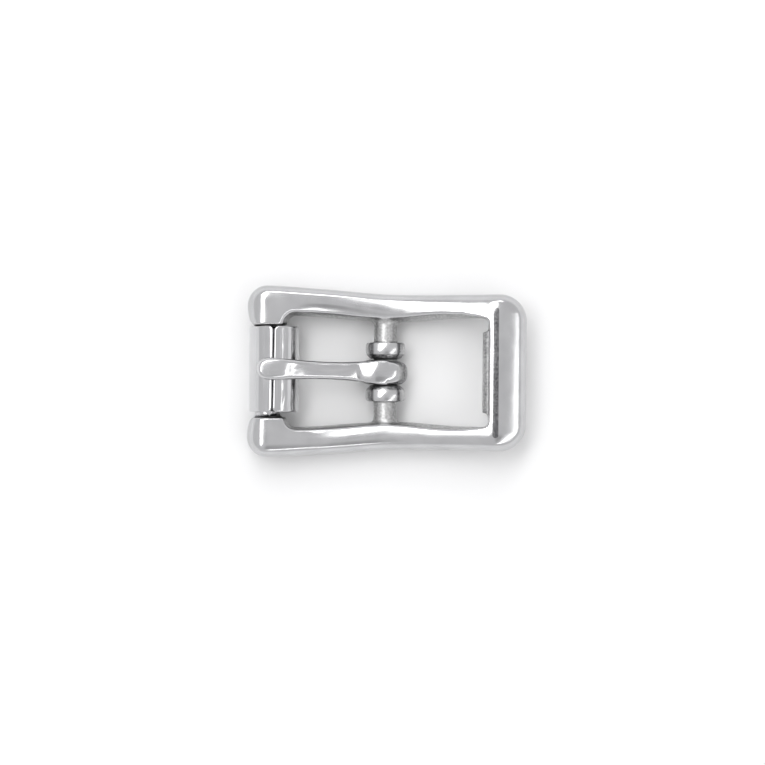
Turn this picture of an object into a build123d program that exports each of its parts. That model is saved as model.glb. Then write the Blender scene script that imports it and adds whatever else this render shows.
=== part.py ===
"""Roller whole buckle for a 16 mm strap: a one-piece cast frame, a cast tongue and a rolled sheet roller.

Units are millimetres. The origin is the middle of the centre bar, on its axis. +X points to the keeper
end, away from the tongue's tip, +Y runs along the centre bar and +Z points up, out of the buckle's face.
"""

import os
from math import cos, radians, sin

from build123d import *

# ---- driving dimensions -------------------------------------------------------------------------
STRAP_WIDTH = 16.0

# the frame in plan: half widths are measured from the middle of the strap
LEFT_END = -25.4
RIGHT_END = 25.9
LEFT_HALF_WIDTH = 15.7
WAIST_HALF_WIDTH = 14.25
RIGHT_HALF_WIDTH = 14.35
LEFT_CORNER_RADIUS = 3.5
RIGHT_CORNER_RADIUS = 4.1
OPENING_LEFT_HALF = 10.25
OPENING_WAIST_HALF = 9.2
OPENING_RIGHT_HALF = 10.0
OPENING_CORNER_RADIUS = 0.9
ARM_END_Y = 8.5
ARM_END_LEFT_X = -24.7
ARM_INNER_X = -18.15
ARM_ROOT_RADIUS = OPENING_LEFT_HALF - ARM_END_Y
KEEPER_INNER_X = 18.95

# the frame from the side: flat feet under the waist, both ends raised
FOOT_Z = -3.95
FOOT_LEFT_X = -7.0
FOOT_RIGHT_X = 7.5
WAIST_TOP_Z = 3.0
ARM_TOP = (-21.3, 4.85)
ARM_END_TOP_Z = 4.5
ARM_END_BOTTOM_Z = -1.2
KEEPER_CREST = (20.7, 6.3)
KEEPER_END_TOP_Z = 5.0
KEEPER_UNDERSIDE = (20.5, 0.7)
KEEPER_END_BOTTOM_Z = 1.7
OUTER_EDGE_RADIUS = 1.9
INNER_EDGE_RADIUS = 0.9
LOWER_EDGE_RADIUS = 1.0

# the keeper's lip
LIP_REACH = 1.05
LIP_HALF_LENGTH = 7.65
LIP_TOP_Z = 3.3
LIP_THICKNESS = 1.6
LIP_BURIED = 1.5

# the centre bar, with its two collars, and the roller bar
BAR_RADIUS = 2.1
BAR_ROOT_RADIUS = 3.0
BAR_ROOT_Y = 8.3
BAR_BURIED_Y = 11.0
COLLAR_RADIUS = 3.6
COLLAR_THROAT_RADIUS = 2.75
COLLAR_INNER_Y = 2.45
COLLAR_SHOULDER_Y = 3.35
COLLAR_OUTER_Y = 5.45
COLLAR_EDGE = 0.35
ROLLER_BAR_RADIUS = 2.3
ROLLER_BAR_X = -21.7
ROLLER_BAR_Z = 1.5

# the roller, which hangs loose on its bar
ROLLER_RADIUS = 4.6
ROLLER_WALL = 0.85
ROLLER_LENGTH = STRAP_WIDTH - 0.2
ROLLER_X = -20.53
ROLLER_Y = 0.4
ROLLER_Z = 0.82
SEAM_WIDTH = 0.2
SEAM_TILT = 0.5
BLANK_CORNER_RADIUS = 0.8
SHEET_EDGE_RADIUS = 0.3

# the tongue, which has side play on the centre bar and lies a little askew
EYE_BORE_RADIUS = 2.3
EYE_RADIUS = 3.95
EYE_CENTRE = (0.15, 0.2)
EYE_START = 85.0
EYE_END = -150.0
EYE_WIDTH = 4.3
HOOK_SLIT = 0.35
HOOK_SLIT_DEPTH = 3.0
HOOK_SLIT_PLACE = (-3.0, -0.9)
HOOK_SLIT_TILT = 18.0
TONGUE_WIDTH = 3.4
TONGUE_TIP_X = -23.6
TONGUE_TIP_WIDTH = 4.1
TONGUE_TIP_TOP = (-23.8, 6.8)
TONGUE_TIP_UNDER = (-23.8, 5.6)
TONGUE_SEAT = (-20.5, 5.57)
TONGUE_SKEW = -1.5
TONGUE_SHIFT = -0.1
BACK_EDGE_RADIUS = 0.75
BELLY_EDGE_RADIUS = 0.6

# ---- room for the cutting shapes, and how edges are told apart -----------------------------------
CUT_TOP = 9.0
CUT_BOTTOM = -6.0
SIDE_MARGIN = 0.5
UPRIGHT = 0.95
RIM_SPLIT_Z = 2.8


def is_level(edge):
    """Whether an edge runs more along its part than up and down."""
    return abs((edge % 0.5).Z) < UPRIGHT


def is_lower_rim(edge):
    """Whether an edge runs round the frame's underside."""
    return is_level(edge) and (edge @ 0.5).Z < RIM_SPLIT_Z


def is_outer_rim(edge):
    """Whether an edge of the frame's face is on its outside."""
    middle = edge @ 0.5
    beyond_left = middle.X < LEFT_END + LOWER_EDGE_RADIUS / 2
    beyond_right = middle.X > RIGHT_END - OUTER_EDGE_RADIUS
    beside = abs(middle.Y) > WAIST_HALF_WIDTH - LOWER_EDGE_RADIUS
    return is_level(edge) and middle.Z > RIM_SPLIT_Z and (beyond_left or beyond_right or beside)


def is_inner_rim(edge):
    """Whether an edge of the frame's face runs round the opening, between the crisp ends of the arms."""
    middle = edge @ 0.5
    past_arms = middle.X > ARM_INNER_X
    before_keeper = middle.X < KEEPER_INNER_X + INNER_EDGE_RADIUS / 2
    inside = past_arms and before_keeper and abs(middle.Y) < OPENING_LEFT_HALF
    return is_level(edge) and middle.Z > RIM_SPLIT_Z and inside


def is_blank_corner(edge):
    """Whether an edge is a corner of the roller's sheet blank, where the seam meets the sleeve's end."""
    return edge.geom_type == GeomType.LINE and edge.length < 2 * ROLLER_WALL


def is_belly_rim(edge):
    """Whether an edge runs round the underside of the tongue's shank."""
    middle = edge @ 0.5
    at_tip = middle.X < TONGUE_TIP_X + 1 and middle.Z < TONGUE_TIP_UNDER[1] + 0.1
    under_shank = abs(middle.X - TONGUE_TIP_X / 2) < 1 and middle.Z < EYE_RADIUS
    return edge.length > TONGUE_TIP_WIDTH and (at_tip or under_shank)


def is_back_rim(edge):
    """Whether an edge runs round the tongue's back or the outside of its eye."""
    if edge.geom_type == GeomType.CIRCLE:
        return edge.radius > EYE_BORE_RADIUS + 1
    above = (edge @ 0.5).Z > EYE_RADIUS + EYE_CENTRE[1]
    return is_level(edge) and above and not is_belly_rim(edge)


os.makedirs("parts", exist_ok=True)

# ---- frame: side rails, keeper bar, arms, centre bar and roller bar in one casting --------------
with BuildPart() as frame:
    with BuildSketch(Plane.XY.offset(CUT_BOTTOM)):
        with BuildLine():
            rail_outside = Spline(
                (LEFT_END + LEFT_CORNER_RADIUS, LEFT_HALF_WIDTH),
                (-8.5, 14.95),
                (2, WAIST_HALF_WIDTH),
                (12, 14.3),
                (RIGHT_END - RIGHT_CORNER_RADIUS, RIGHT_HALF_WIDTH),
                tangents=((1, 0), (1, 0)),
            )
            right_corner = RadiusArc(
                rail_outside @ 1,
                (RIGHT_END, RIGHT_HALF_WIDTH - RIGHT_CORNER_RADIUS),
                RIGHT_CORNER_RADIUS,
            )
            keeper_outside = Line(right_corner @ 1, (RIGHT_END, 0))
            across_keeper = Line(keeper_outside @ 1, (KEEPER_INNER_X, 0))
            keeper_inside = Line(
                across_keeper @ 1,
                (KEEPER_INNER_X, OPENING_RIGHT_HALF - OPENING_CORNER_RADIUS),
            )
            opening_corner = RadiusArc(
                keeper_inside @ 1,
                (KEEPER_INNER_X - OPENING_CORNER_RADIUS, OPENING_RIGHT_HALF),
                -OPENING_CORNER_RADIUS,
            )
            rail_inside = Spline(
                opening_corner @ 1,
                (10, 9.75),
                (1, OPENING_WAIST_HALF),
                (-8.3, 9.85),
                (ARM_INNER_X + ARM_ROOT_RADIUS, OPENING_LEFT_HALF),
                tangents=((-1, 0), (-1, 0)),
            )
            arm_root = RadiusArc(rail_inside @ 1, (ARM_INNER_X, ARM_END_Y), -ARM_ROOT_RADIUS)
            arm_end = Line(arm_root @ 1, (ARM_END_LEFT_X, ARM_END_Y))
            arm_outside = Spline(
                arm_end @ 1,
                (LEFT_END, LEFT_HALF_WIDTH - LEFT_CORNER_RADIUS),
                tangents=((-0.3, 1), (0, 1)),
            )
            RadiusArc(arm_outside @ 1, rail_outside @ 0, LEFT_CORNER_RADIUS)
        make_face()
        mirror(about=Plane.XZ)
    extrude(amount=CUT_TOP - CUT_BOTTOM)

    # the boat shape, seen from the side
    with BuildSketch(Plane.XZ.offset(-LEFT_HALF_WIDTH)):
        with BuildLine():
            face_line = Spline(
                (LEFT_END - SIDE_MARGIN, ARM_END_TOP_Z),
                ARM_TOP,
                (-10, 3.75),
                (0, WAIST_TOP_Z),
                (9, 3.6),
                KEEPER_CREST,
                (RIGHT_END + SIDE_MARGIN, KEEPER_END_TOP_Z),
            )
            keeper_side = Line(face_line @ 1, (RIGHT_END + SIDE_MARGIN, KEEPER_END_BOTTOM_Z))
            keeper_under = Spline(keeper_side @ 1, KEEPER_UNDERSIDE, (13.5, -2.5), (FOOT_RIGHT_X, FOOT_Z))
            foot = Line(keeper_under @ 1, (FOOT_LEFT_X, FOOT_Z))
            arm_under = Spline(foot @ 1, (-15, -3.1), (LEFT_END - SIDE_MARGIN, ARM_END_BOTTOM_Z))
            Line(arm_under @ 1, face_line @ 0)
        make_face()
    extrude(amount=2 * LEFT_HALF_WIDTH, mode=Mode.INTERSECT)

    # polished round edges: tight underneath, broad outside, and medium round the openings
    fillet(frame.edges().filter_by(is_lower_rim), LOWER_EDGE_RADIUS)
    fillet(frame.edges().filter_by(is_outer_rim), OUTER_EDGE_RADIUS)
    fillet(frame.edges().filter_by(is_inner_rim), INNER_EDGE_RADIUS)

    # the lip, a low step along the keeper's inner side
    with BuildSketch(Plane.XY.offset(LIP_TOP_Z - LIP_THICKNESS)):
        with BuildLine():
            lip_edge = Line((KEEPER_INNER_X - LIP_REACH, 0), (KEEPER_INNER_X - LIP_REACH, LIP_HALF_LENGTH))
            lip_end = RadiusArc(lip_edge @ 1, (KEEPER_INNER_X, LIP_HALF_LENGTH + LIP_REACH), -LIP_REACH)
            Polyline(
                lip_end @ 1,
                (KEEPER_INNER_X + LIP_BURIED, LIP_HALF_LENGTH + LIP_REACH),
                (KEEPER_INNER_X + LIP_BURIED, 0),
                lip_edge @ 0,
            )
        make_face()
        mirror(about=Plane.XZ)
    extrude(amount=LIP_THICKNESS)

    # the centre bar: two collars keep the tongue in the middle, and its ends flare into the rails
    with BuildSketch(Plane.YZ):
        with BuildLine():
            Polyline(
                (0, 0),
                (0, BAR_RADIUS),
                (COLLAR_INNER_Y, BAR_RADIUS),
                (COLLAR_INNER_Y, COLLAR_THROAT_RADIUS),
                (COLLAR_SHOULDER_Y, COLLAR_RADIUS),
                (COLLAR_OUTER_Y - COLLAR_EDGE, COLLAR_RADIUS),
                (COLLAR_OUTER_Y, COLLAR_RADIUS - COLLAR_EDGE),
                (COLLAR_OUTER_Y, BAR_RADIUS),
                (BAR_ROOT_Y, BAR_RADIUS),
                (BAR_BURIED_Y, BAR_ROOT_RADIUS),
                (BAR_BURIED_Y, 0),
                (0, 0),
            )
        make_face()
        mirror(about=Plane.YZ)
    revolve(axis=Axis.Y)

    # the roller bar between the arms
    with BuildSketch(Plane.XZ.offset(-BAR_BURIED_Y)):
        with Locations((ROLLER_BAR_X, ROLLER_BAR_Z)):
            Circle(ROLLER_BAR_RADIUS)
    extrude(amount=2 * BAR_BURIED_Y)

frame.part.label = "frame"
export_step(frame.part, "parts/frame.step")

# ---- roller: a sheet sleeve with an open seam ----------------------------------------------------
seam_x = ROLLER_X - ROLLER_RADIUS * sin(radians(SEAM_TILT))
seam_z = ROLLER_Z + ROLLER_RADIUS * cos(radians(SEAM_TILT))

with BuildPart() as roller:
    with BuildSketch(Plane.XZ.offset(-(ROLLER_Y + ROLLER_LENGTH / 2))):
        with Locations((ROLLER_X, ROLLER_Z)):
            Circle(ROLLER_RADIUS)
            Circle(ROLLER_RADIUS - ROLLER_WALL, mode=Mode.SUBTRACT)
        with Locations((seam_x, seam_z)):
            Rectangle(SEAM_WIDTH, 3 * ROLLER_WALL, rotation=SEAM_TILT, mode=Mode.SUBTRACT)
    extrude(amount=ROLLER_LENGTH)
    fillet(roller.edges().filter_by(is_blank_corner), BLANK_CORNER_RADIUS)
    outside = roller.faces().sort_by(SortBy.AREA)[-1]
    fillet(outside.edges(), SHEET_EDGE_RADIUS)

roller.part.label = "roller"
export_step(roller.part, "parts/roller.step")

# ---- tongue: cast, its hooked end closed round the centre bar ------------------------------------
tongue_along = Vector(1, 0, 0).rotate(Axis.Z, TONGUE_SKEW)
tongue_plan = Plane(origin=(0, TONGUE_SHIFT, 0), x_dir=tongue_along, z_dir=(0, 0, 1))
tongue_side = Plane(origin=(0, TONGUE_SHIFT, 0), x_dir=tongue_along, z_dir=tongue_along.rotate(Axis.Z, -90))

with BuildPart() as tongue:
    with BuildSketch(tongue_side.offset(-EYE_WIDTH)):
        with BuildLine():
            eye = CenterArc(EYE_CENTRE, EYE_RADIUS, EYE_START, EYE_END - EYE_START)
            back = Spline(
                TONGUE_TIP_TOP,
                (-22.8, 7.3),
                (-21.5, 7.46),
                (-19.0, 7.2),
                (-16.5, 6.35),
                (-14.0, 5.55),
                (-10.0, 4.66),
                (-6.0, 3.85),
                (-4.0, 3.65),
                (-1.8, 3.97),
                eye @ 0,
            )
            belly = Spline(
                eye @ 1,
                (-3.75, 0.2),
                (-5.4, 1.9),
                (-9.5, 2.95),
                (-14.0, 4.1),
                (-17.5, 5.2),
                TONGUE_SEAT,
                TONGUE_TIP_UNDER,
            )
            Line(belly @ 1, back @ 0)
        make_face()
        Circle(EYE_BORE_RADIUS, mode=Mode.SUBTRACT)
        with Locations(HOOK_SLIT_PLACE):
            Rectangle(HOOK_SLIT_DEPTH, HOOK_SLIT, rotation=HOOK_SLIT_TILT, mode=Mode.SUBTRACT)
    extrude(amount=2 * EYE_WIDTH)

    with BuildSketch(tongue_plan.offset(CUT_BOTTOM)):
        with BuildLine():
            tip_radius = TONGUE_TIP_WIDTH / 2
            round_tip = RadiusArc((TONGUE_TIP_X, 0), (TONGUE_TIP_X + tip_radius, tip_radius), tip_radius)
            tongue_edge = Spline(
                round_tip @ 1,
                (-15.5, TONGUE_WIDTH / 2 + 0.05),
                (-7.0, TONGUE_WIDTH / 2),
                (-1.5, EYE_WIDTH / 2),
                tangents=((1, 0), (1, 0)),
            )
            Polyline(tongue_edge @ 1, (EYE_RADIUS + 1, EYE_WIDTH / 2), (EYE_RADIUS + 1, 0), round_tip @ 0)
        make_face()
        mirror(about=Plane.XZ)
    extrude(amount=CUT_TOP - CUT_BOTTOM, mode=Mode.INTERSECT)
    fillet(tongue.edges().filter_by(is_back_rim), BACK_EDGE_RADIUS)
    fillet(tongue.edges().filter_by(is_belly_rim), BELLY_EDGE_RADIUS)

tongue.part.label = "tongue"
export_step(tongue.part, "parts/tongue.step")
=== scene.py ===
import math

import bpy
import numpy as np
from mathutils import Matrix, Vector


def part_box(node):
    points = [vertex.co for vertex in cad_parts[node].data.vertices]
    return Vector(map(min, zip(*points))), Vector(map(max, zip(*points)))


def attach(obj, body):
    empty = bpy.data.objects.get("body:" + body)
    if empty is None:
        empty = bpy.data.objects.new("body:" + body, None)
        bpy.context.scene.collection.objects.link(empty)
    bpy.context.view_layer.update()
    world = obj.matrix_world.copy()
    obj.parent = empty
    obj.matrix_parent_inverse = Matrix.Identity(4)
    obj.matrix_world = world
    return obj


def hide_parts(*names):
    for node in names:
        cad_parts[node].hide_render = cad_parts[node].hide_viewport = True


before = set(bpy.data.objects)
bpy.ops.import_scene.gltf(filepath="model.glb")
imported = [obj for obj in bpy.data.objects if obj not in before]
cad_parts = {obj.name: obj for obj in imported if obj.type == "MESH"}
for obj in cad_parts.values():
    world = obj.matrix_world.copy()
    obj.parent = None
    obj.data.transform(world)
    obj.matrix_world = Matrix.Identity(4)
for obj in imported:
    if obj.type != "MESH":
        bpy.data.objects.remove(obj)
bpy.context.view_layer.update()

MM = 0.001

# ---- sizes in millimetres, in the frame's own axes ------------------------------------------------
LEFT_END = -25.4
RIGHT_END = 25.9
ARM_INNER_X = -18.15
ARM_END_Y = 8.5
BARS_END_Y = 11
KEEPER_INNER_X = 18.95
BAR_RADIUS = 2.1
COLLAR_RADIUS, COLLAR_START, COLLAR_MIDDLE, COLLAR_END = 3.6, 2.45, 4.3, 5.45
ROLLER_BAR_X, ROLLER_BAR_Z, ROLLER_BAR_RADIUS = -21.7, 1.5, 2.3
ROLLER_X, ROLLER_Y, ROLLER_Z = -20.53, 0.4, 0.82
ROLLER_RADIUS, ROLLER_WALL, ROLLER_LENGTH = 4.6, 0.85, 15.8
TONGUE_SKEW = math.radians(-1.5)
TONGUE_SHIFT = -0.1


# ---- the small kit for distance fields ------------------------------------------------------------
PASSES = 4
LONGEST_MOVE = 0.2
LEAST_SLOPE = 0.05


def curve(points):
    """A natural cubic spline through (x, value) points, held level past its ends."""
    xs, ys = (np.array(column, float) for column in zip(*points))
    gap = np.diff(xs)
    count = len(xs)
    system = np.eye(count)
    right = np.zeros(count)
    for i in range(1, count - 1):
        system[i, i - 1 : i + 2] = gap[i - 1], 2 * (gap[i - 1] + gap[i]), gap[i]
        right[i] = 6 * ((ys[i + 1] - ys[i]) / gap[i] - (ys[i] - ys[i - 1]) / gap[i - 1])
    bend = np.linalg.solve(system, right)

    def value(x):
        x = np.clip(x, xs[0], xs[-1])
        i = np.clip(np.searchsorted(xs, x) - 1, 0, count - 2)
        h = gap[i]
        a = (xs[i + 1] - x) / h
        b = 1 - a
        return a * ys[i] + b * ys[i + 1] + ((a**3 - a) * bend[i] + (b**3 - b) * bend[i + 1]) * h * h / 6

    return value


def ramp(value, start, end):
    """From 0 at start to 1 at end, and level outside them."""
    return np.clip((value - start) / (end - start), 0, 1)


def ease(value, start, end):
    """Like ramp, with its two corners smoothed."""
    share = ramp(value, start, end)
    return share * share * (3 - 2 * share)


def round_max(a, b, radius):
    """What is inside both a and b, with the edge between them rounded."""
    corner = np.hypot(np.maximum(a + radius, 0), np.maximum(b + radius, 0))
    return np.minimum(np.maximum(a, b), -radius) + corner


def soft_min(a, b, reach):
    """What is inside a or b, with the corner between them filled."""
    mix = np.maximum(reach - np.abs(a - b), 0) / reach
    return np.minimum(a, b) - mix * mix * reach / 4


def crossings(value, step):
    """Surface nets: one vertex in each grid cell that the surface passes through, and their quads."""
    inside = value < 0
    cells = tuple(n - 1 for n in value.shape)
    total = np.zeros(cells + (3,), np.float32)
    number = np.zeros(cells, np.int32)
    for axis in range(3):
        others = [i for i in range(3) if i != axis]
        low = [slice(None)] * 3
        high = [slice(None)] * 3
        low[axis], high[axis] = slice(0, -1), slice(1, None)
        v0, v1 = value[tuple(low)], value[tuple(high)]
        cut = (v0 < 0) != (v1 < 0)
        along = np.where(cut, v0 / np.where(cut, v0 - v1, 1), 0).astype(np.float32)
        for p in (0, 1):
            for q in (0, 1):
                window = [slice(None)] * 3
                window[others[0]] = slice(p, cells[others[0]] + p)
                window[others[1]] = slice(q, cells[others[1]] + q)
                here = cut[tuple(window)]
                number += here
                total[..., axis] += along[tuple(window)] * here
                total[..., others[0]] += p * here
                total[..., others[1]] += q * here
    mixed = number > 0
    label = np.full(cells, -1, np.int64)
    label[mixed] = np.arange(mixed.sum())
    corner = np.argwhere(mixed)
    points = (corner + total[mixed] / number[mixed][:, None]) * step
    quads = []
    for axis in range(3):
        u, v = (axis + 1) % 3, (axis + 2) % 3
        low = [slice(1, -1)] * 3
        high = [slice(1, -1)] * 3
        low[axis], high[axis] = slice(0, -1), slice(1, None)
        first, second = inside[tuple(low)], inside[tuple(high)]
        cut = np.argwhere(first != second)
        leaving = first[first != second]
        base = cut.copy()
        for i in range(3):
            if i != axis:
                base[:, i] += 1
        ring = []
        for du, dv in ((-1, -1), (0, -1), (0, 0), (-1, 0)):
            cell = base.copy()
            cell[:, u] += du
            cell[:, v] += dv
            ring.append(label[cell[:, 0], cell[:, 1], cell[:, 2]])
        ring = np.stack(ring, 1)
        ring[~leaving] = ring[~leaving][:, ::-1]
        quads.append(ring)
    return points, np.concatenate(quads)


def slope(field, points, reach=0.01):
    """The field's gradient at some points."""
    rows = []
    for axis in range(3):
        offset = np.zeros(3)
        offset[axis] = reach
        ahead = field(*(points + offset).T)
        behind = field(*(points - offset).T)
        rows.append((ahead - behind) / (2 * reach))
    return np.stack(rows, 1)


def onto_surface(field, points):
    """Points moved along the gradient until they lie on the surface."""
    gradient = slope(field, points)
    size = np.maximum((gradient**2).sum(1), LEAST_SLOPE)
    move = field(*points.T) / size
    return points - gradient * np.clip(move, -LONGEST_MOVE, LONGEST_MOVE)[:, None]


def solid(name, field, low, high, step):
    """A piece meshed from its field, as a smooth-shaded object with the field's own normals."""
    low, high = np.array(low, float), np.array(high, float)
    axes = [np.arange(low[i], high[i] + step, step) for i in range(3)]
    value = np.stack([field(x, *np.meshgrid(axes[1], axes[2], indexing="ij")) for x in axes[0]])
    points, quads = crossings(value, step)
    points += low
    edges = np.concatenate([quads[:, [i, (i + 1) % 4]] for i in range(4)])
    weight = np.bincount(edges.ravel(), minlength=len(points))[:, None]
    for _ in range(PASSES):
        points = onto_surface(field, points)
        drawn = np.stack(
            [
                np.bincount(edges[:, 0], points[edges[:, 1], axis], len(points))
                + np.bincount(edges[:, 1], points[edges[:, 0], axis], len(points))
                for axis in range(3)
            ],
            1,
        )
        points = 0.5 * points + 0.5 * drawn / weight
    for _ in range(PASSES):
        points = onto_surface(field, points)
    normals = slope(field, points)
    normals /= np.linalg.norm(normals, axis=1)[:, None]

    mesh = bpy.data.meshes.new(name)
    mesh.vertices.add(len(points))
    mesh.vertices.foreach_set("co", (points * MM).astype(np.float32).ravel())
    mesh.loops.add(quads.size)
    mesh.loops.foreach_set("vertex_index", quads.astype(np.int32).ravel())
    mesh.polygons.add(len(quads))
    mesh.polygons.foreach_set("loop_start", np.arange(0, quads.size, 4, dtype=np.int32))
    mesh.update(calc_edges=True)
    mesh.validate()
    mesh.polygons.foreach_set("use_smooth", np.ones(len(quads), bool))
    mesh.normals_split_custom_set_from_vertices(normals.tolist())
    piece = bpy.data.objects.new(name, mesh)
    bpy.context.scene.collection.objects.link(piece)
    return piece, points, normals


def ripple(x, y, z, size):
    """A shallow unevenness, as hand polishing leaves."""
    lengthwise = np.sin(x / size + 1.3 * np.sin(y / size + 0.7))
    waves = lengthwise * np.cos(y / size * 0.8 + 2.1 + 0.9 * np.sin(z / size))
    return waves + 0.5 * np.sin(1.9 * x / size + 2.3 * y / size + 1.1 * z / size + 0.4)


# ---- frame ----------------------------------------------------------------------------------------
OUTER_HALF = curve(
    [(-26, 15.7), (-20.5, 15.72), (-15.7, 15.45), (-8.3, 14.95), (-1, 14.33), (4, 14.22), (21, 14.35)]
    + [(26, 14.4)]
)
INNER_HALF = curve(
    [(-19, 10.3), (-16, 10.25), (-8.3, 9.75), (-1, 9.25), (3, 9.22), (10, 9.72), (17.5, 10.0), (20, 10.0)]
)
FACE_Z = curve(
    [(-26, 3.3), (-24.5, 4.14), (-23.5, 4.58), (-22.9, 4.79), (-22.4, 4.88), (-21.9, 4.9), (-20.5, 4.78)]
    + [(-19, 4.6), (-17, 4.33), (-14, 3.91), (-12, 3.66), (-10, 3.46), (-8, 3.31), (-6, 3.21), (-4, 3.15)]
    + [(-2, 3.12), (0, 3.13), (2, 3.2), (4, 3.34), (6.4, 3.6), (9, 3.99), (12, 4.56), (15, 5.22), (17, 5.69)]
    + [(18.6, 6.06), (19.1, 6.18), (19.6, 6.27), (20.3, 6.33), (21.5, 6.26), (22.5, 6.08), (24, 5.67)]
    + [(25, 5.3), (26.5, 4.6)]
)
CREST_Y = curve(
    [(-26, 13.2), (-15.6, 13.0), (-10, 12.7), (0, 11.6), (6, 11.2), (12, 10.9), (18, 10.8), (26, 10.8)]
)
MIDDLE_Z = curve([(-26, 1.4), (-18, 1.2), (-10, 0), (0, -0.4), (9, 0), (20, 3.5), (26, 3.5)])
UNDER_Z = curve(
    [(-26, -1.2), (-21, -2.1), (-14, -3.3), (-8, -3.93), (0, -3.95), (7, -3.93), (13.5, -2.4), (20.5, 0.7)]
    + [(26.5, 1.8)]
)
REST_Z = -3.94
CROWN_RADIUS, INNER_CROWN_CUT, OUTER_CROWN_CUT = 7.5, 3.6, 1.4
KEEPER_CORNER, ARM_CORNER, OPENING_CORNER, ARM_OPENING_CORNER = 4.9, 3.6, 1.0, 1.75
ARM_END_SLANT, ARM_END_SLANT_Y, ARM_END_SLANT_WIDTH = 0.7, 12.2, 3.7
TOP_ROUND, INNER_TOP_ROUND, KEEPER_TOP_ROUND = 1.5, 0.45, 0.2
UNDER_ROUND, INNER_UNDER_ROUND, ARM_END_ROUND = 1.2, 1.0, 0.9
FACE_STRETCH = 0.97
LIP_EDGE_X, LIP_HALF, LIP_TOP, LIP_FOOT = 17.9, 7.35, 4.5, 2.2
LIP_END_RADIUS = 1.1
LIP_FALL = 0.13
LIP_BURIED_X, LIP_BURIED_Y = 21.5, 9.5
CAP_TOP = 3.3
TAPER_RADIUS = 2.75
RIPPLE_HEIGHT, FRAME_RIPPLE, TONGUE_RIPPLE = 0.006, 2.6, 1.7


def rim_field(x, y, z):
    """The rails, arms and keeper, without the bars and the lip."""
    across = np.abs(y)
    slant = np.clip((ARM_END_SLANT_Y - across) / ARM_END_SLANT_WIDTH, 0, 1.3)
    outside = round_max(across - OUTER_HALF(x), x - RIGHT_END, KEEPER_CORNER)
    outside = round_max(outside, LEFT_END + ARM_END_SLANT * slant**2 - x, ARM_CORNER)
    opening = round_max(across - INNER_HALF(x), x - KEEPER_INNER_X, OPENING_CORNER)
    opening = round_max(opening, ARM_INNER_X - x, ARM_OPENING_CORNER)
    wall_swell = np.where(y > 0, 0.074, 0.048) * ramp(x, 18.0, 14.0)
    opening = opening - wall_swell * (z - MIDDLE_Z(x)) ** 2
    gap = np.maximum(across - ARM_END_Y, x - ARM_INNER_X - 3)
    opening = soft_min(opening, gap, 0.6)

    from_crest = np.maximum(across - CREST_Y(x), -3)
    along_rails = ease(x, 19.8, 15.8) * ease(x, -19.5, -11.5)
    cut = np.where(from_crest < 0, INNER_CROWN_CUT, OUTER_CROWN_CUT)
    crown_radius = CROWN_RADIUS - cut * ease(x, 2, -9)
    crown = from_crest**2 * np.where(from_crest > 0, 1, along_rails) / (2 * crown_radius)
    above = (z - FACE_Z(x) + crown) * FACE_STRETCH
    below = (np.maximum(UNDER_Z(x), REST_Z) - z) * FACE_STRETCH
    inner_round = INNER_TOP_ROUND + (KEEPER_TOP_ROUND - INNER_TOP_ROUND) * ramp(x, 17, 18.5)
    body = np.maximum(round_max(outside, above, TOP_ROUND), round_max(-opening, above, inner_round))
    body = np.maximum(body, round_max(outside, below, UNDER_ROUND))
    body = np.maximum(body, round_max(-opening, below, INNER_UNDER_ROUND))
    return np.maximum(body, round_max(outside, -opening, ARM_END_ROUND))


def collar_fields(x, y, z):
    """The cast collar, and the flatter cap that polishing has left on its top."""
    from_middle = np.abs(y) - COLLAR_MIDDLE
    barrel = np.hypot(x, z) - COLLAR_RADIUS - 0.05 + from_middle**2 / 9
    return barrel, (z - CAP_TOP + x * x / 9.5 + from_middle**2 / 8) * FACE_STRETCH


def bar_field(x, y, z):
    """The centre bar and its two collars, which taper towards the tongue."""
    across = np.abs(y)
    radius = np.hypot(x, z)
    bar = np.maximum(radius - BAR_RADIUS, across - BARS_END_Y)
    taper = (0.9 * (radius - TAPER_RADIUS) - 0.85 * (across - COLLAR_START)) / 1.24
    barrel, cap = collar_fields(x, y, z)
    collar = round_max(barrel, across - COLLAR_END, 0.45)
    collar = round_max(collar, COLLAR_START - across, 0.2)
    collar = round_max(collar, taper, 0.15)
    collar = round_max(collar, cap, 0.1)
    return soft_min(bar, collar, 0.35)


def lip_field(x, y, z):
    """The keeper's low lip, with hollow ends."""
    across = np.abs(y)
    past_end = ramp(across, LIP_HALF, LIP_HALF + LIP_END_RADIUS)
    edge = LIP_EDGE_X + LIP_END_RADIUS * np.sqrt(1 - (1 - past_end) ** 2)
    lip = np.maximum(edge - x, x - LIP_BURIED_X) * 0.8
    lip = np.maximum(lip, across - LIP_BURIED_Y)
    lip = round_max(lip, z - LIP_TOP + LIP_FALL * (x - LIP_EDGE_X), 0.15)
    return round_max(lip, LIP_FOOT - z, 0.3)


def frame_field(x, y, z):
    """The whole casting, its parts joined by small fillets."""
    roller_bar = np.hypot(x - ROLLER_BAR_X, z - ROLLER_BAR_Z) - ROLLER_BAR_RADIUS
    roller_bar = np.maximum(roller_bar, np.abs(y) - BARS_END_Y)
    body = soft_min(rim_field(x, y, z), bar_field(x, y, z), 1.0)
    body = soft_min(body, roller_bar, 0.9)
    body = soft_min(body, lip_field(x, y, z), 0.25)
    return body + RIPPLE_HEIGHT * ripple(x, y, z, FRAME_RIPPLE)


# ---- roller ---------------------------------------------------------------------------------------
SEAM_HALF_GAP = 0.08
SEAM_TILT = math.radians(0.5)
SEAM_SLANT = 0.0035
FLAT_TILT, FLAT_DEPTH = math.radians(17), 0.13
BLANK_CORNER, SHEET_EDGE, FLAT_EDGE = 0.85, 0.3, 0.1
BENDING_MARK = 0.006


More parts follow.
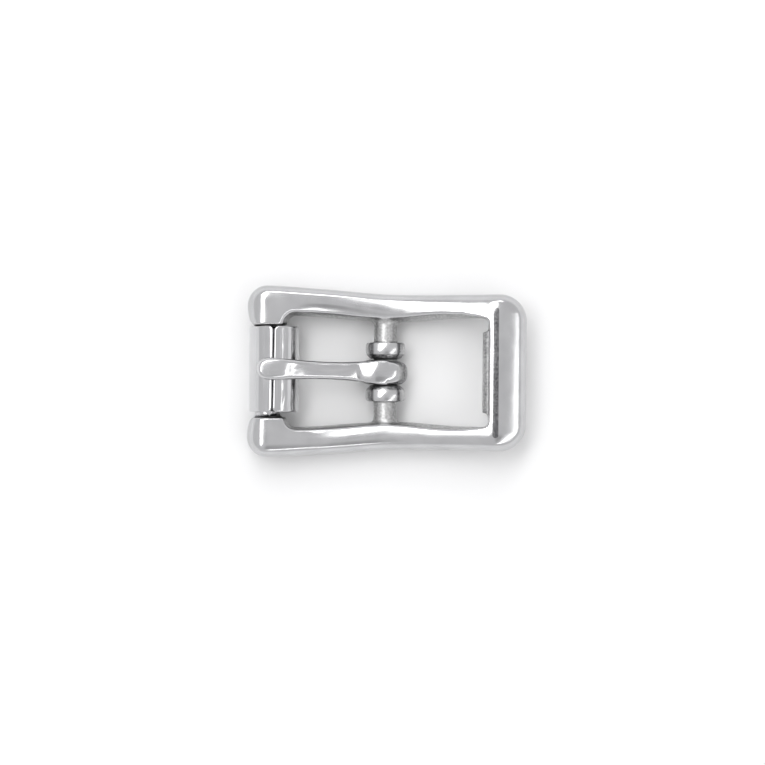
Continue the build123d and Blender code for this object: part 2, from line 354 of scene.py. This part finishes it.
def roller_field(x, y, z):
    """A rolled sheet sleeve: open seam, a flat beside it, and bending marks on the other side."""
    dx, dz = x - ROLLER_X, z - ROLLER_Z
    along = np.abs(y - ROLLER_Y)
    middle = ROLLER_RADIUS - ROLLER_WALL / 2
    turn = np.arctan2(dx, dz) + SEAM_TILT - SEAM_SLANT * y
    from_seam = SEAM_HALF_GAP - np.abs(turn) * middle
    blank = round_max(along - ROLLER_LENGTH / 2, from_seam, BLANK_CORNER)
    marked = ramp(turn, 0.1, 0.3) * ramp(turn, 0.9, 0.6) * ramp(along, 7.6, 6.6)
    marks = np.sin(29 * turn + 0.8 * np.sin(0.9 * y + 1.0)) + 0.6 * np.sin(47 * turn + 1.1 * np.sin(1.7 * y))
    from_middle = np.abs(np.hypot(dx, dz) - middle + BENDING_MARK * marks * marked)
    sleeve = round_max(blank, from_middle - ROLLER_WALL / 2, SHEET_EDGE)
    flat = dz * math.cos(FLAT_TILT) - dx * math.sin(FLAT_TILT) - ROLLER_RADIUS + FLAT_DEPTH
    return round_max(sleeve, flat, FLAT_EDGE)


# ---- tongue ---------------------------------------------------------------------------------------
BACK_Z = curve(
    [(-24.2, 6.4), (-23.6, 6.92), (-23.2, 7.22), (-22.8, 7.4), (-22.4, 7.45), (-21.5, 7.45), (-20, 7.37)]
    + [(-19, 7.2), (-18.3, 7.02), (-17.5, 6.75), (-16.5, 6.36), (-15.5, 5.96), (-14.5, 5.62), (-13.5, 5.36)]
    + [(-12, 5.04), (-10, 4.66), (-8, 4.25), (-6, 3.85), (-5.6, 3.74), (-5.1, 3.6), (-4.4, 3.57), (-3.4, 3.72)]
    + [(-2.4, 3.91), (-1.8, 3.96), (-1, 3.92), (0, 3.79), (1, 3.6), (2, 3.33), (2.5, 3.14), (3.2, 2.78)]
    + [(4.4, 1.9)]
)
BELLY_Z = curve(
    [(-24.2, 5.6), (-20.5, 5.57), (-17.5, 5.0), (-14, 3.7), (-9.5, 2.4), (-5.4, 1.3), (-3.5, 0.1), (-2, -0.7)]
)
TONGUE_HALF = curve([(-23.6, 2.05), (-21.5, 2.05), (-15.5, 1.75), (-7, 1.7), (-3, 2.0), (-1, 2.15), (2, 2.15)])
TONGUE_TIP, TIP_ROUND, TIP_STRETCH = -23.6, 1.95, 0.72
EYE_X, EYE_Z, EYE_RADIUS, EYE_HALF, EYE_SQUASH, EYE_ROUND = -0.3, 0.1, 4.4, 2.15, 1.1, 1.75
BORE_RADIUS, SHANK_END = 2.3, 0.3
DENT_X, DENT_SIDE, DENT_DEPTH, DENT_SIZE = -16.8, 0.3, 0.09, 1.1
SLIT_X, SLIT_Z, SLIT_HALF_GAP, SLIT_TILT = -3, -0.9, 0.17, math.radians(18)
SLIT_START, SLIT_END = -5.2, -1.5


def tongue_field(x, y, z):
    """The tongue's shank, its eye and the slit where its hook closes."""
    ahead = x * math.cos(TONGUE_SKEW) + (y - TONGUE_SHIFT) * math.sin(TONGUE_SKEW)
    side = np.abs(-x * math.sin(TONGUE_SKEW) + (y - TONGUE_SHIFT) * math.cos(TONGUE_SKEW))
    plan = round_max(side - TONGUE_HALF(ahead), TIP_STRETCH * (TONGUE_TIP - ahead), TIP_ROUND)
    shank = round_max(plan, (BELLY_Z(ahead) - z) * 0.92, 0.6)
    shank = np.maximum(shank, ahead - SHANK_END)
    from_eye = np.hypot(ahead - EYE_X, EYE_SQUASH * (z - EYE_Z))
    ring = round_max(from_eye - EYE_RADIUS, side - EYE_HALF, EYE_ROUND)
    crown = side**2 / (40 - 26 * ramp(ahead, -15.5, -6))
    dent = DENT_DEPTH * np.exp(-((ahead - DENT_X) ** 2 + (side - DENT_SIDE) ** 2) / DENT_SIZE)
    top = (z - BACK_Z(ahead) + crown + dent) * 0.95
    body = round_max(soft_min(ring, shank, 0.6), top, 0.75 - 0.45 * ramp(ahead, -6, -3))
    body = round_max(body, BORE_RADIUS - np.hypot(ahead, z), 0.25)
    above_slit = (z - SLIT_Z) * math.cos(SLIT_TILT) - (ahead - SLIT_X) * math.sin(SLIT_TILT)
    slit = np.abs(above_slit) - SLIT_HALF_GAP
    slit = np.maximum(slit, ahead - SLIT_END)
    slit = np.maximum(slit, SLIT_START - ahead)
    return round_max(body, -slit, 0.12) + RIPPLE_HEIGHT * ripple(x, y, z, TONGUE_RIPPLE)


# ---- materials ------------------------------------------------------------------------------------
# A near black for scratches and grain, and for painted shade and a painted dark reflection.
WEAR_AND_PAINTED_SHADE_COLOUR = (0.06, 0.06, 0.065)


def steel(name, colour, rough, cast_rough, cast_colour, streaks):
    """Polished stainless steel, which reads three layers of the mesh.

    The cast layer makes it dull and pitted. A second layer darkens it with painted shade, and a third, which
    falls away from 1 to below 0, darkens it with a sharp edge as a painted dark reflection.
    """
    material = bpy.data.materials.new(name)
    material.use_nodes = True
    nodes, links = material.node_tree.nodes, material.node_tree.links
    shader = nodes["Principled BSDF"]
    shader.inputs["Metallic"].default_value = 1.0
    place = nodes.new("ShaderNodeTexCoord")

    def layer(layer_name):
        node = nodes.new("ShaderNodeAttribute")
        node.attribute_name = layer_name
        return node.outputs["Fac"]

    def connect(value, socket):
        if isinstance(value, (int, float)):
            socket.default_value = value
        else:
            links.new(value, socket)

    def noise(scale, detail, roughness=0.5, stretch=None):
        texture = nodes.new("ShaderNodeTexNoise")
        texture.inputs["Scale"].default_value = scale
        texture.inputs["Detail"].default_value = detail
        texture.inputs["Roughness"].default_value = roughness
        source = place.outputs["Object"]
        if stretch:
            mapping = nodes.new("ShaderNodeMapping")
            mapping.inputs["Scale"].default_value = stretch
            links.new(source, mapping.inputs["Vector"])
            source = mapping.outputs["Vector"]
        links.new(source, texture.inputs["Vector"])
        return texture.outputs["Fac"]

    def ranged(source, low, high, start=0.3, end=0.7):
        node = nodes.new("ShaderNodeMapRange")
        node.inputs["From Min"].default_value = start
        node.inputs["From Max"].default_value = end
        node.inputs["To Min"].default_value = low
        node.inputs["To Max"].default_value = high
        links.new(source, node.inputs["Value"])
        return node.outputs["Result"]

    def blend(a, b, share):
        node = nodes.new("ShaderNodeMix")
        node.data_type = "FLOAT"
        for value, socket in ((share, 0), (a, 2), (b, 3)):
            connect(value, node.inputs[socket])
        return node.outputs[0]

    def colour_blend(a, b, share):
        node = nodes.new("ShaderNodeMix")
        node.data_type = "RGBA"
        links.new(share, node.inputs[0])
        for value, socket in ((a, 6), (b, 7)):
            if isinstance(value, tuple):
                node.inputs[socket].default_value = (*value, 1)
            else:
                links.new(value, node.inputs[socket])
        return node.outputs[2]

    def multiply_add(a, b, c, clamp=False):
        node = nodes.new("ShaderNodeMath")
        node.operation = "MULTIPLY_ADD"
        node.use_clamp = clamp
        for value, socket in zip((a, b, c), node.inputs):
            connect(value, socket)
        return node.outputs[0]

    cast = layer("cast")
    smear = noise(260, 3)
    grain = noise(2400, 3, 0.6)
    scratch = noise(900, 2, 0.6, streaks)
    polished = ranged(smear, rough * 0.75, rough * 1.3)
    dull = ranged(grain, cast_rough * 0.8, cast_rough * 1.2)
    links.new(blend(polished, dull, cast), shader.inputs["Roughness"])

    tint = colour_blend(colour, cast_colour, blend(ranged(smear, 0.0, 0.15), ranged(grain, 0.45, 1.3), cast))
    scratched = ranged(scratch, 0.0, 0.12, 0.35, 0.75)
    # Scratches and grain darken the colour as wear; the two painted layers add painted shade and a painted
    # dark reflection.
    wear_and_painted_shade = multiply_add(layer("soot"), ranged(grain, 0.75, 1.15), scratched)
    wear_and_painted_shade = multiply_add(cast, ranged(grain, -0.05, 0.34), wear_and_painted_shade)
    within_strip = multiply_add(layer("strip"), 1.0, 0.0, clamp=True)
    wear_and_painted_shade = multiply_add(within_strip, ranged(grain, 0.45, 0.85), wear_and_painted_shade)
    links.new(colour_blend(tint, WEAR_AND_PAINTED_SHADE_COLOUR, wear_and_painted_shade), shader.inputs["Base Color"])

    relief = nodes.new("ShaderNodeBump")
    relief.inputs["Strength"].default_value = 1.0
    relief.inputs["Distance"].default_value = 0.00004
    height = blend(ranged(scratch, 0.0, 0.08), grain, cast)
    links.new(height, relief.inputs["Height"])
    links.new(relief.outputs["Normal"], shader.inputs["Normal"])
    return material


def paint(piece, **shares):
    """Mesh layers for the steel to read, each with one share at each vertex."""
    for name, share in shares.items():
        layer = piece.data.attributes.new(name, "FLOAT", "POINT")
        layer.data.foreach_set("value", share.astype(np.float32))


def strongest(*shares):
    """The largest of several shares, kept between 0 and 1."""
    return np.clip(np.maximum.reduce(shares), 0, 1)


# ---- pieces ---------------------------------------------------------------------------------------
FINE = 0.21
ALONG_X, ALONG_Y, CLOUDY = (0.06, 1.0, 1.0), (1.0, 0.06, 1.0), (0.22, 0.22, 1.0)
POLISHED, POLISHED_SHEET = (0.66, 0.66, 0.67), (0.67, 0.67, 0.68)
# Where the painted dark reflection lies along the keeper's top, and how soft its edge is.
PAINTED_REFLECTION_X, PAINTED_REFLECTION_HALF_LENGTH, PAINTED_REFLECTION_HALF_WIDTH, PAINTED_REFLECTION_EDGE = 20.15, 11.4, 0.6, 0.14

buckle_frame, at, normal = solid("buckle_frame", frame_field, (-26.6, -16.6, -5), (27, 16.6, 8), FINE)
across = np.abs(at[:, 1])
reach = np.hypot(at[:, 0], at[:, 2])
upward_share = normal[:, 2]
on_bar = ramp(reach, 2.9, 2.5) * ramp(across, 10.4, 9.6)
barrel, cap = collar_fields(*at.T)
on_collar = ramp(reach, 2.6, 2.9) * ramp(reach, 4.8, 4.2) * ramp(across, 7.0, 6.0)
polished_cap = ramp(cap - barrel, 0.02, 0.1) * ramp(across, 2.7, 2.9) * ramp(across, 5.4, 5.2)
crease = ramp(np.abs(cap - barrel - 0.02), 0.12, 0.04) * ramp(across, 2.6, 2.8) * ramp(upward_share, 0.2, 0.5)
taper = ramp(across, 3.4, 3.2) * ramp(reach, 4.6, 4.2)
facing_opening = ramp(-(normal[:, 0] * at[:, 0] * 0.5 + normal[:, 1] * at[:, 1]), 1.0, 3.0)
wall = facing_opening * ramp(upward_share, 0.72, 0.5) * ramp(at[:, 0], 18.8, 18.5)
outer_wall = (1 - facing_opening) * ramp(upward_share, 0.8, 0.5)
lip = ramp(at[:, 0], 19.0, 18.8) * ramp(at[:, 0], 17.0, 17.4) * ramp(across, 9.0, 8.6)
under = ramp(upward_share, -0.2, -0.7)
from_strip = np.hypot(at[:, 0] - PAINTED_REFLECTION_X, np.maximum(across - PAINTED_REFLECTION_HALF_LENGTH, 0))
unpolished = 0.45 * on_collar * (1 - polished_cap)
paint(
    buckle_frame,
    cast=strongest(on_bar, unpolished, taper, 0.6 * under, 0.85 * wall, 0.8 * lip),
    # Painted shade: darker colour on the collars' crease and taper, the inner and outer walls and the lip.
    soot=strongest(
        0.8 * crease * on_collar, 0.6 * taper * on_collar, 0.2 * outer_wall, 0.22 * wall, 0.38 * lip
    ),
    # Painted dark reflection: a narrow dark band along the top of the keeper.
    strip=np.where(upward_share > 0.5, (PAINTED_REFLECTION_HALF_WIDTH - from_strip) / PAINTED_REFLECTION_EDGE, -1),
)
buckle_frame.data.materials.append(
    steel("polished_cast_steel", POLISHED, 0.17, 0.4, (0.64, 0.64, 0.635), CLOUDY)
)

buckle_tongue, at, normal = solid("buckle_tongue", tongue_field, (-24.6, -3.6, -5), (5.2, 3.8, 9), FINE * 0.75)
rough_end = ramp(at[:, 0], 2.35, 2.6)
inside_eye = ramp(np.hypot(at[:, 0], at[:, 2]), 2.7, 2.45)
sides = ramp(normal[:, 2], 0.5, 0.2)
end_outline = ramp(at[:, 0], 2.2, 2.6) * ramp(normal[:, 2], 0.75, 0.55)
paint(
    buckle_tongue,
    cast=strongest(rough_end, inside_eye, 0.9 * sides),
    # Painted shade: darker colour on the steep and downward sides and round the rough end of the eye.
    soot=strongest(0.45 * ramp(normal[:, 2], 0.4, 0.15), 0.4 * end_outline),
)
buckle_tongue.data.materials.append(
    steel("polished_tongue_steel", POLISHED, 0.16, 0.42, (0.64, 0.64, 0.64), ALONG_X)
)

buckle_roller, at, normal = solid(
    "buckle_roller", roller_field, (-25.8, -8.2, -4.4), (-15.2, 9.0, 6.1), FINE * 0.75
)
inside_sleeve = ramp(np.hypot(at[:, 0] - ROLLER_X, at[:, 2] - ROLLER_Z), 4.1, 3.8)
# The inside of the sleeve is dull, and darkened as painted shade.
paint(buckle_roller, cast=inside_sleeve * 0.8, soot=inside_sleeve * 0.3)
buckle_roller.data.materials.append(
    steel("polished_sheet_steel", POLISHED_SHEET, 0.14, 0.35, (0.5, 0.5, 0.5), ALONG_Y)
)

for piece, node, slot in (
    (buckle_frame, "frame", "cast_steel"),
    (buckle_tongue, "tongue", "tongue_steel"),
    (buckle_roller, "roller", "sheet_steel"),
):
    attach(piece, node)
    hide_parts(node)

# ---- table, light and camera ----------------------------------------------------------------------
TABLE_SIZE = 3.0
TABLE_DROP = 0.02 * MM
table_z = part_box("frame")[0].z - TABLE_DROP

bpy.ops.mesh.primitive_plane_add(size=TABLE_SIZE, location=(0, 0, table_z))
table = bpy.context.object
table.name = "table"
paper = bpy.data.materials.new("white_table")
paper.use_nodes = True
paper.node_tree.nodes["Principled BSDF"].inputs["Base Color"].default_value = (0.9, 0.9, 0.9, 1)
paper.node_tree.nodes["Principled BSDF"].inputs["Roughness"].default_value = 0.9
table.data.materials.append(paper)

# The room's grey against the sine of the angle above the horizon, and one dimmer patch overhead.
ROOM_GREYS = [(0.0, 0.98), (0.22, 1.0), (0.42, 0.70), (0.7, 0.68), (0.985, 0.70), (0.996, 0.68), (1.0, 0.55)]
DIM_TOWARD, DIM_STARTS, DIM_FULL, DIM_SHARE = (0.14, -0.36, 0.92), 0.965, 0.995, 0.6

bpy.context.scene.view_settings.view_transform = "Standard"
world = bpy.data.worlds.new("studio")
bpy.context.scene.world = world
world.use_nodes = True
nodes, links = world.node_tree.nodes, world.node_tree.links
direction = nodes.new("ShaderNodeTexCoord")
upward = nodes.new("ShaderNodeSeparateXYZ")
greys = nodes.new("ShaderNodeValToRGB")
links.new(direction.outputs["Generated"], upward.inputs[0])
links.new(upward.outputs["Z"], greys.inputs["Fac"])
links.new(greys.outputs["Color"], nodes["Background"].inputs["Color"])
for height, _ in ROOM_GREYS[1:-1]:
    greys.color_ramp.elements.new(height)
for stop, (height, grey) in zip(greys.color_ramp.elements, ROOM_GREYS):
    stop.color = (grey, grey, grey * 1.01, 1)
toward = nodes.new("ShaderNodeVectorMath")
toward.operation = "DOT_PRODUCT"
toward.inputs[1].default_value = DIM_TOWARD
links.new(direction.outputs["Generated"], toward.inputs[0])
dim = nodes.new("ShaderNodeMapRange")
dim.interpolation_type = "SMOOTHSTEP"
dim.inputs["From Min"].default_value = DIM_STARTS
dim.inputs["From Max"].default_value = DIM_FULL
dim.inputs["To Min"].default_value = 1.0
dim.inputs["To Max"].default_value = DIM_SHARE
links.new(toward.outputs["Value"], dim.inputs["Value"])
links.new(dim.outputs["Result"], nodes["Background"].inputs["Strength"])


LIGHT_HEIGHT = 0.8
SOFT_EDGE = 0.11


def softbox(name, low, high, radiance, soft=SOFT_EDGE, flags=()):
    """A level light over a rectangle of the plan, shaded softly at its edges and by slanted flags.

    A flag (a, b, c) keeps the light where a x + b y + c is above zero.
    """
    width, depth = high[0] - low[0], high[1] - low[1]
    light = bpy.data.lights.new(name, "AREA")
    light.shape = "RECTANGLE"
    light.size, light.size_y = width, depth
    light.energy = radiance * math.pi * width * depth
    lamp = bpy.data.objects.new(name, light)
    bpy.context.scene.collection.objects.link(lamp)
    lamp.location = ((low[0] + high[0]) / 2, (low[1] + high[1]) / 2, LIGHT_HEIGHT)
    light.use_nodes = True
    nodes, links = light.node_tree.nodes, light.node_tree.links
    split = nodes.new("ShaderNodeSeparateXYZ")
    geometry = nodes.new("ShaderNodeNewGeometry")
    links.new(geometry.outputs["Position"], split.inputs[0])

    def math_node(operation, a, b):
        node = nodes.new("ShaderNodeMath")
        node.operation = operation
        for value, socket in ((a, 0), (b, 1)):
            if isinstance(value, (int, float)):
                node.inputs[socket].default_value = value
            else:
                links.new(value, node.inputs[socket])
        return node.outputs[0]

    def fade(distance):
        node = nodes.new("ShaderNodeMapRange")
        node.interpolation_type = "SMOOTHSTEP"
        node.inputs["From Max"].default_value = soft
        links.new(distance, node.inputs["Value"])
        return node.outputs["Result"]

    shade = 1.0
    edges = [(1, 0, -low[0]), (-1, 0, high[0]), (0, 1, -low[1]), (0, -1, high[1])]
    for a, b, c in edges + list(flags):
        along_x = math_node("MULTIPLY", split.outputs["X"], a)
        along_y = math_node("MULTIPLY", split.outputs["Y"], b)
        inward = math_node("ADD", math_node("ADD", along_x, along_y), c)
        shade = math_node("MULTIPLY", shade, fade(inward))
    links.new(shade, nodes["Emission"].inputs["Strength"])


softbox(
    "softbox_left", (-0.50, -0.20), (0.12, 1.05), 4.6,
    flags=[(-0.79, 0.61, -0.11), (0.853, -0.522, 0.558), (-0.988, -0.157, 0.16)],
)
softbox("softbox_far", (-0.12, 0.72), (0.42, 1.20), 4.0, soft=0.12)
softbox(
    "softbox_right", (0.02, -0.85), (0.90, 0.09), 4.1,
    flags=[(0.763, -0.647, -0.44), (-0.763, 0.647, 0.63)],
)

VIEW_HEIGHT = 0.42
VIEW_WIDTH = 0.1411
SENSOR_WIDTH = 36
FACE_HEIGHT = 0.0015
camera = bpy.data.cameras.new("camera")
camera.sensor_width = SENSOR_WIDTH
camera.lens = SENSOR_WIDTH * VIEW_HEIGHT / VIEW_WIDTH
camera.clip_start = 0.01
eye = bpy.data.objects.new("camera", camera)
bpy.context.scene.collection.objects.link(eye)
eye.location = (-0.0005, -0.00194, VIEW_HEIGHT + FACE_HEIGHT)
eye.rotation_euler = (0, 0, math.radians(0.4))
bpy.context.scene.camera = eye
